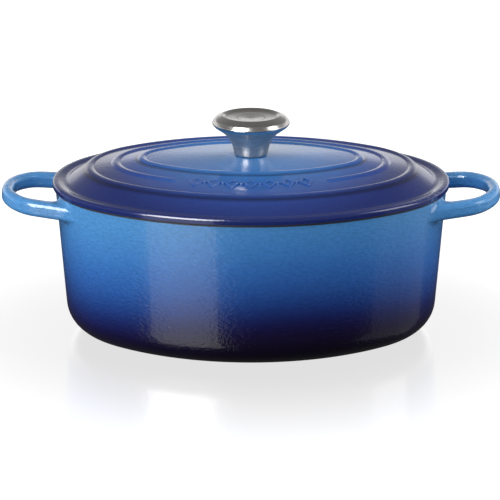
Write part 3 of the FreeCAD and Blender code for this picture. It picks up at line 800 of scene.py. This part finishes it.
@dataclass
class Ornament:
    """The raised row of open lozenges and beads in the front gap of the lid's middle bead."""

    half_length: float = 100 * MM
    side_count: int = 3
    pitch: float = 13.4 * MM
    lozenge_half: tuple[float, float] = (5.4 * MM, 8.4 * MM)
    stroke: float = 1.9 * MM
    bead_radius: float = 1.5 * MM
    rise: float = 1.3 * MM
    sunk: float = 0.6 * MM
    edge: float = 0.4 * MM
    edge_steps: int = 4
    bead_corners: int = 16
    smooth_angle: float = math.radians(50)
    above_lid: float = 300 * MM

    def start(self, name: str, corners: int, half: tuple[float, float]) -> bpy.types.Object:
        """Adds a flat prism about the origin, with a corner across X.

        Args:
            name: The new object's name.
            corners: How many corners it has.
            half: Its half sizes along X and Y.

        Returns:
            The prism, selected and active.
        """
        bpy.ops.object.select_all(action="DESELECT")
        bpy.ops.mesh.primitive_cylinder_add(vertices=corners, radius=1.0, depth=1.0)
        prism = bpy.context.object
        prism.name = name
        prism.scale = (*half, self.rise + self.sunk)
        prism.location = (0, 0, (self.rise - self.sunk) / 2)
        bpy.ops.object.transform_apply(location=True, rotation=True, scale=True)
        return prism

    def soften(self, piece: bpy.types.Object) -> None:
        """Rounds a piece's edges as poured enamel does.

        Args:
            piece: The selected and active piece.
        """
        bevel = piece.modifiers.new("edge", "BEVEL")
        bevel.width = self.edge
        bevel.segments = self.edge_steps
        bevel.limit_method = "ANGLE"
        bpy.ops.object.modifier_apply(modifier=bevel.name)

    def model_lozenge(self, name: str) -> bpy.types.Object:
        """Models one open lozenge at the origin.

        Args:
            name: The new object's name.

        Returns:
            The lozenge.
        """
        lozenge = self.start(name, 4, self.lozenge_half)
        bpy.ops.object.mode_set(mode="EDIT")
        bpy.ops.mesh.select_all(action="DESELECT")
        bpy.ops.object.mode_set(mode="OBJECT")
        for face in lozenge.data.polygons:
            face.select = face.normal.z > 0.9
        bpy.ops.object.mode_set(mode="EDIT")
        bpy.ops.mesh.select_mode(type="FACE")
        bpy.ops.mesh.inset(thickness=self.stroke)
        bpy.ops.mesh.extrude_region_move(
            TRANSFORM_OT_translate={"value": (0, 0, -self.rise - self.sunk / 2)}
        )
        bpy.ops.object.mode_set(mode="OBJECT")
        self.soften(lozenge)
        return lozenge

    def model_bead(self, name: str) -> bpy.types.Object:
        """Models one round bead at the origin.

        Args:
            name: The new object's name.

        Returns:
            The bead.
        """
        bead = self.start(name, self.bead_corners, (self.bead_radius, self.bead_radius))
        self.soften(bead)
        return bead

    def place_on_lid(self, offset: float) -> Matrix:
        """Finds where on the lid a lozenge sits, and which way is up there.

        Args:
            offset: Distance from the middle along the row.

        Returns:
            The matrix that takes it from the origin to its place.
        """
        radius = self.half_length - OVALS.difference + OVALS.side_centre
        angle = offset / radius
        across = radius * math.sin(angle)
        along = OVALS.side_centre - radius * math.cos(angle)
        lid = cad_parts["lid_casting"]
        above = Vector((across, along, self.above_lid))
        found, spot, normal, _ = lid.ray_cast(above, Vector((0, 0, -1)))
        if not found:
            raise RuntimeError("the ornament is off the lid")
        right = Vector((math.cos(angle), math.sin(angle), 0))
        right = (right - normal * right.dot(normal)).normalized()
        back = normal.cross(right)
        turn = Matrix((right, back, normal)).transposed().to_4x4()
        return Matrix.Translation(spot) @ turn

    def build(self, enamel: bpy.types.Material) -> bpy.types.Object:
        """Models the row and joins it into one piece that rides on the lid.

        Args:
            enamel: The lid's outside enamel.

        Returns:
            The finished row.
        """
        lozenge = self.model_lozenge("lid_ornament")
        bead = self.model_bead("lid_bead")
        pieces = []
        for step in range(-2 * self.side_count, 2 * self.side_count + 1):
            first = lozenge if step % 2 == 0 else bead
            piece = first.copy()
            piece.data = first.data.copy()
            bpy.context.scene.collection.objects.link(piece)
            piece.data.transform(self.place_on_lid(step * self.pitch / 2))
            pieces.append(piece)
        bpy.data.objects.remove(lozenge)
        bpy.data.objects.remove(bead)
        row = pieces[0]
        row.name = "lid_ornament"
        bpy.ops.object.select_all(action="DESELECT")
        for piece in pieces:
            piece.select_set(True)
        bpy.context.view_layer.objects.active = row
        bpy.ops.object.join()
        bpy.ops.object.shade_smooth_by_angle(angle=self.smooth_angle)
        row.data.materials.clear()
        row.data.materials.append(enamel)
        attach(row, "lid")
        LOG.info("lid_ornament has %d faces", len(row.data.polygons))
        return row


@dataclass(frozen=True)
class Softbox:
    """A flat soft light that looks at the pot."""

    name: str
    azimuth: float
    distance: float
    height: float
    width: float
    tall: float
    radiance: float
    target: float = 0.06
    glossy: bool = True
    diffuse: bool = True

    def build(self) -> bpy.types.Object:
        """Hangs the light, with a power that gives its radiance.

        Returns:
            The light.
        """
        data = bpy.data.lights.new(self.name, "AREA")
        data.shape = "RECTANGLE"
        data.size = self.width
        data.size_y = self.tall
        data.energy = self.radiance * math.pi * self.width * self.tall
        light = bpy.data.objects.new(self.name, data)
        turn = math.radians(self.azimuth)
        light.location = (
            self.distance * math.sin(turn), -self.distance * math.cos(turn), self.height
        )
        look = Vector((0, 0, self.target)) - light.location
        light.rotation_mode = "QUATERNION"
        light.rotation_quaternion = look.to_track_quat("-Z", "Y")
        light.visible_camera = False
        light.visible_glossy = self.glossy
        light.visible_diffuse = self.diffuse
        bpy.context.scene.collection.objects.link(light)
        return light


@dataclass(frozen=True)
class Camera:
    """The camera, in front of the pot and a little above it."""

    place: tuple[float, float, float] = (0.0, -1.5251, 0.5432)
    target: tuple[float, float, float] = (0.0, 0.0, 0.059278)
    sensor: float = 36.0
    lens: float = 151.494
    shift: float = -0.00192

    def build(self) -> bpy.types.Object:
        """Sets the camera up as the one that the scene uses.

        Returns:
            The camera.
        """
        data = bpy.data.cameras.new("camera")
        data.sensor_width = self.sensor
        data.lens = self.lens
        data.shift_x = self.shift
        camera = bpy.data.objects.new("camera", data)
        camera.location = self.place
        look = Vector(self.target) - camera.location
        camera.rotation_mode = "QUATERNION"
        camera.rotation_quaternion = look.to_track_quat("-Z", "Y")
        bpy.context.scene.collection.objects.link(camera)
        bpy.context.scene.camera = camera
        return camera


@dataclass
class Studio:
    """The pale floor, the soft light and the camera."""

    softboxes: tuple[Softbox, ...] = (
        Softbox("key_light", -35, 1.1, 0.75, 0.56, 1.3, 4.2, target=0.5),
        Softbox("key_line", -34, 1.1, 0.62, 0.74, 1.0, 12.0, target=0.3, diffuse=False),
        Softbox("key_mirrored", -34, 1.1, -0.56, 0.7, 0.94, 1.3, target=-0.4),
        Softbox("right_light", 75, 1.2, 0.65, 0.6, 1.0, 3.8, target=0.4),
        Softbox("right_mirrored", 88, 1.2, -0.6, 1.1, 1.0, 0.22, target=-0.4, diffuse=False),
        Softbox("right_fill", 112, 1.2, 0.3, 0.8, 1.2, 4.0, glossy=False),
        Softbox("left_fill", -80, 1.5, 0.3, 1.2, 1.4, 2.4, glossy=False),
        Softbox("front_fill", 0, 1.9, 0.8, 1.4, 1.2, 0.8, glossy=False),
        Softbox("top_fill", 0, 0.15, 1.3, 1.2, 0.8, 1.1, glossy=False),
    )
    sky_behind: tuple[Stop, ...] = (
        (-0.3, (0.02,) * 3), (-0.12, (0.1,) * 3), (-0.04, (1.3,) * 3), (0.16, (1.5,) * 3),
        (0.25, (0.52,) * 3), (0.36, (0.27,) * 3), (0.55, (0.27,) * 3), (0.8, (0.17,) * 3),
    )
    sky_in_front: tuple[Stop, ...] = (
        (-0.3, (0.01,) * 3), (-0.12, (0.05,) * 3), (-0.03, (0.35,) * 3), (0.1, (0.4,) * 3),
        (0.3, (0.15,) * 3), (0.8, (0.17,) * 3),
    )
    sky_turn: tuple[float, float] = (-0.15, 0.35)
    floor_reach: float = 12.0
    floor_gap: float = 0.2 * MM
    floor_glow: float = 1.28
    mirror: float = 0.42
    mirror_roughness: float = 0.12
    mirror_reach: tuple[float, float] = (140 * MM, 400 * MM)
    camera: Camera = Camera()

    def light_world(self) -> None:
        """Makes the surroundings bright low behind the pot and dark elsewhere."""
        world = bpy.data.worlds.new("studio")
        bpy.context.scene.world = world
        world.use_nodes = True
        graph = Graph(world.node_tree)
        way = graph.add("ShaderNodeSeparateXYZ", {
            0: graph.add("ShaderNodeTexCoord").outputs["Generated"]
        }).outputs
        behind = graph.spread(way["Y"], *self.sky_turn)
        back = graph.ramp(way["Z"], self.sky_behind)
        front = graph.ramp(way["Z"], self.sky_in_front)
        glow = world.node_tree.nodes["Background"]
        graph.feed(glow.inputs["Color"], graph.blend(behind, front, back))

    def lay_floor(self, effects: Effects) -> bpy.types.Object:
        """Lays the white floor with its faint mirror image close to the pot.

        Args:
            effects: The shared node groups.

        Returns:
            The floor.
        """
        bpy.ops.object.select_all(action="DESELECT")
        low = (0, 0, -self.floor_gap)
        bpy.ops.mesh.primitive_plane_add(size=2 * self.floor_reach, location=low)
        floor = bpy.context.object
        floor.name = "floor"
        material = bpy.data.materials.new("white_floor")
        material.use_nodes = True
        tree = material.node_tree
        tree.nodes.remove(tree.nodes["Principled BSDF"])
        graph = Graph(tree)
        place = graph.add("ShaderNodeTexCoord").outputs["Object"]
        reach = graph.use(effects.oval_reach, Place=place).outputs["Half Length"]
        share = graph.spread(reach, *self.mirror_reach, self.mirror, 0.0)
        white = graph.add(
            "ShaderNodeEmission", {"Color": (1.0, 1.0, 1.0), "Strength": self.floor_glow}
        )
        mirror = graph.add(
            "ShaderNodeBsdfGlossy", {"Color": (1.0, 1.0, 1.0), "Roughness": self.mirror_roughness}
        )
        both = graph.add(
            "ShaderNodeMixShader", {0: share, 1: white.outputs[0], 2: mirror.outputs[0]}
        )
        graph.feed(tree.nodes["Material Output"].inputs["Surface"], both.outputs[0])
        floor.data.materials.append(material)
        floor.visible_diffuse = False
        floor.visible_glossy = False
        floor.visible_shadow = False
        return floor

    def build(self, effects: Effects) -> None:
        """Sets up the whole studio.

        Args:
            effects: The shared node groups.
        """
        self.light_world()
        self.lay_floor(effects)
        for softbox in self.softboxes:
            softbox.build()
        self.camera.build()
        view = bpy.context.scene.view_settings
        view.view_transform = "Standard"
        view.look = "None"


def main() -> None:
    """Builds the looks, piece by piece."""
    logging.basicConfig(level=logging.INFO, format="%(name)s %(message)s")
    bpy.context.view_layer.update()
    effects = Effects()
    Pot().dress(effects)
    lid = Lid().dress(effects)
    Knob().dress(effects)
    Ornament().build(lid.data.materials[0])
    Studio().build(effects)


if __name__ == "__main__":
    main()
